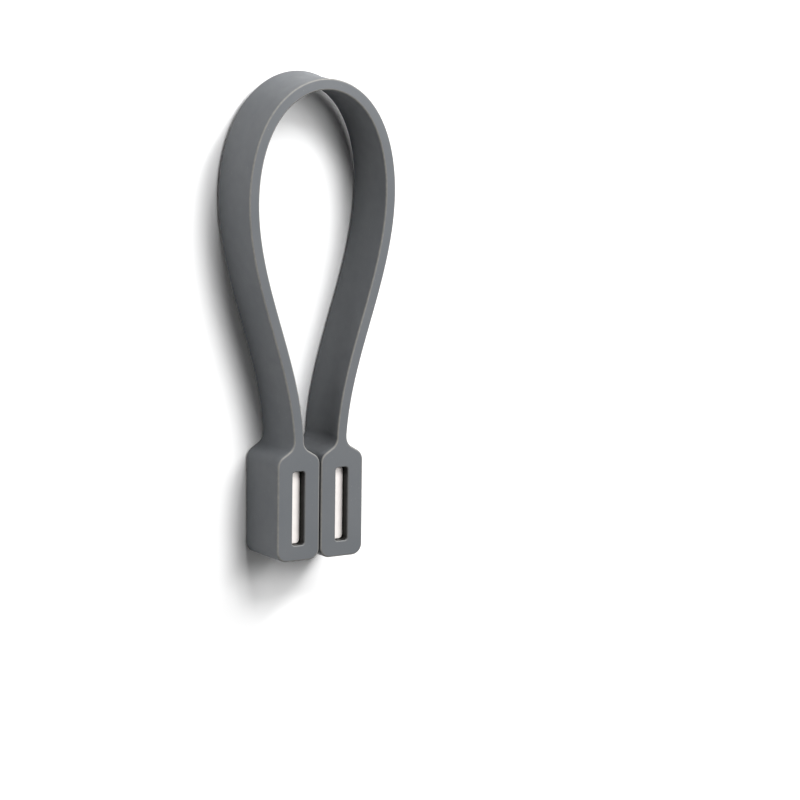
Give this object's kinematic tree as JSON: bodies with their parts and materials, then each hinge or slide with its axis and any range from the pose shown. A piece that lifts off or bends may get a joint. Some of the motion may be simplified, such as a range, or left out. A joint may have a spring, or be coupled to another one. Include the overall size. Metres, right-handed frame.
{
  "type": "magnetic loop strap",
  "caption": "Grey silicone strap bent into a teardrop loop and held shut by block magnets in its rectangular end heads, which lie side by side.",
  "frame": {"origin": "on the resting plane under the middle of the closed loop, heads included", "axes": "+Z out of the surface that the loop lies on, across the width of the strap; +Y from the heads to the crown of the loop; +X to the right head"},
  "size_m": [0.0454, 0.1306, 0.017],
  "materials": {
    "silicone": "matte moulded silicone",
    "magnet": "bright nickel plating"
  },
  "bodies": {
    "strap_crown": {"strap_crown": "silicone"},
    "left_strap_01": {"left_strap_01": "silicone"},
    "left_strap_02": {"left_strap_02": "silicone"},
    "left_strap_03": {"left_strap_03": "silicone"},
    "left_strap_04": {"left_strap_04": "silicone"},
    "left_strap_05": {"left_strap_05": "silicone"},
    "left_strap_06": {"left_strap_06": "silicone"},
    "left_strap_07": {"left_strap_07": "silicone"},
    "left_strap_08": {"left_strap_08": "silicone"},
    "left_strap_09": {"left_strap_09": "silicone"},
    "left_head": {"left_head": "silicone", "left_magnet": "magnet"},
    "right_strap_01": {"right_strap_01": "silicone"},
    "right_strap_02": {"right_strap_02": "silicone"},
    "right_strap_03": {"right_strap_03": "silicone"},
    "right_strap_04": {"right_strap_04": "silicone"},
    "right_strap_05": {"right_strap_05": "silicone"},
    "right_strap_06": {"right_strap_06": "silicone"},
    "right_strap_07": {"right_strap_07": "silicone"},
    "right_strap_08": {"right_strap_08": "silicone"},
    "right_strap_09": {"right_strap_09": "silicone"},
    "right_head": {"right_head": "silicone", "right_magnet": "magnet"}
  },
  "joints": [
    {"name": "left_flex_01", "type": "hinge", "parent": "strap_crown", "child": "left_strap_01", "pos_m": [-0.00259, 0.06354, 0.0085], "axis": [0, 0, -1], "range_deg": [0, 18.89]},
    {"name": "left_flex_02", "type": "hinge", "parent": "left_strap_01", "child": "left_strap_02", "pos_m": [-0.00805, 0.06168, 0.0085], "axis": [0, 0, -1], "range_deg": [0, 19.16]},
    {"name": "left_flex_03", "type": "hinge", "parent": "left_strap_02", "child": "left_strap_03", "pos_m": [-0.01321, 0.05767, 0.0085], "axis": [0, 0, -1], "range_deg": [0, 17.9]},
    {"name": "left_flex_04", "type": "hinge", "parent": "left_strap_03", "child": "left_strap_04", "pos_m": [-0.01732, 0.05163, 0.0085], "axis": [0, 0, -1], "range_deg": [0, 15.01]},
    {"name": "left_flex_05", "type": "hinge", "parent": "left_strap_04", "child": "left_strap_05", "pos_m": [-0.01998, 0.044, 0.0085], "axis": [0, 0, -1], "range_deg": [0, 11.79]},
    {"name": "left_flex_06", "type": "hinge", "parent": "left_strap_05", "child": "left_strap_06", "pos_m": [-0.02112, 0.03523, 0.0085], "axis": [0, 0, -1], "range_deg": [0, 9.86]},
    {"name": "left_flex_07", "type": "hinge", "parent": "left_strap_06", "child": "left_strap_07", "pos_m": [-0.0207, 0.02562, 0.0085], "axis": [0, 0, -1], "range_deg": [0, 7.92]},
    {"name": "left_flex_08", "type": "hinge", "parent": "left_strap_07", "child": "left_strap_08", "pos_m": [-0.01882, 0.01541, 0.0085], "axis": [0, 0, -1], "range_deg": [0, 7.36]},
    {"name": "left_flex_09", "type": "hinge", "parent": "left_strap_08", "child": "left_strap_09", "pos_m": [-0.00876, -0.01887, 0.0085], "axis": [0, 0, -1], "range_deg": [-8.94, 0]},
    {"name": "left_neck_flex", "type": "hinge", "parent": "left_strap_09", "child": "left_head", "pos_m": [-0.00671, -0.0322, 0.0085], "axis": [0, 0, -1], "range_deg": [-8.98, 0]},
    {"name": "right_flex_01", "type": "hinge", "parent": "strap_crown", "child": "right_strap_01", "pos_m": [0.00259, 0.06354, 0.0085], "axis": [0, 0, 1], "range_deg": [0, 18.89]},
    {"name": "right_flex_02", "type": "hinge", "parent": "right_strap_01", "child": "right_strap_02", "pos_m": [0.00805, 0.06168, 0.0085], "axis": [0, 0, 1], "range_deg": [0, 19.16]},
    {"name": "right_flex_03", "type": "hinge", "parent": "right_strap_02", "child": "right_strap_03", "pos_m": [0.01321, 0.05767, 0.0085], "axis": [0, 0, 1], "range_deg": [0, 17.9]},
    {"name": "right_flex_04", "type": "hinge", "parent": "right_strap_03", "child": "right_strap_04", "pos_m": [0.01732, 0.05163, 0.0085], "axis": [0, 0, 1], "range_deg": [0, 15.01]},
    {"name": "right_flex_05", "type": "hinge", "parent": "right_strap_04", "child": "right_strap_05", "pos_m": [0.01998, 0.044, 0.0085], "axis": [0, 0, 1], "range_deg": [0, 11.79]},
    {"name": "right_flex_06", "type": "hinge", "parent": "right_strap_05", "child": "right_strap_06", "pos_m": [0.02112, 0.03523, 0.0085], "axis": [0, 0, 1], "range_deg": [0, 9.86]},
    {"name": "right_flex_07", "type": "hinge", "parent": "right_strap_06", "child": "right_strap_07", "pos_m": [0.0207, 0.02562, 0.0085], "axis": [0, 0, 1], "range_deg": [0, 7.92]},
    {"name": "right_flex_08", "type": "hinge", "parent": "right_strap_07", "child": "right_strap_08", "pos_m": [0.01882, 0.01541, 0.0085], "axis": [0, 0, 1], "range_deg": [0, 7.36]},
    {"name": "right_flex_09", "type": "hinge", "parent": "right_strap_08", "child": "right_strap_09", "pos_m": [0.00876, -0.01887, 0.0085], "axis": [0, 0, 1], "range_deg": [-8.94, 0]},
    {"name": "right_neck_flex", "type": "hinge", "parent": "right_strap_09", "child": "right_head", "pos_m": [0.00671, -0.0322, 0.0085], "axis": [0, 0, 1], "range_deg": [-8.98, 0]}
  ],
  "couplings": [
    {"joint": "left_flex_09", "follows": "left_flex_02", "ratio": -0.46535},
    {"joint": "left_neck_flex", "follows": "left_flex_01", "ratio": -0.47464},
    {"joint": "right_flex_09", "follows": "right_flex_02", "ratio": -0.46535},
    {"joint": "right_neck_flex", "follows": "right_flex_01", "ratio": -0.47464}
  ]
}
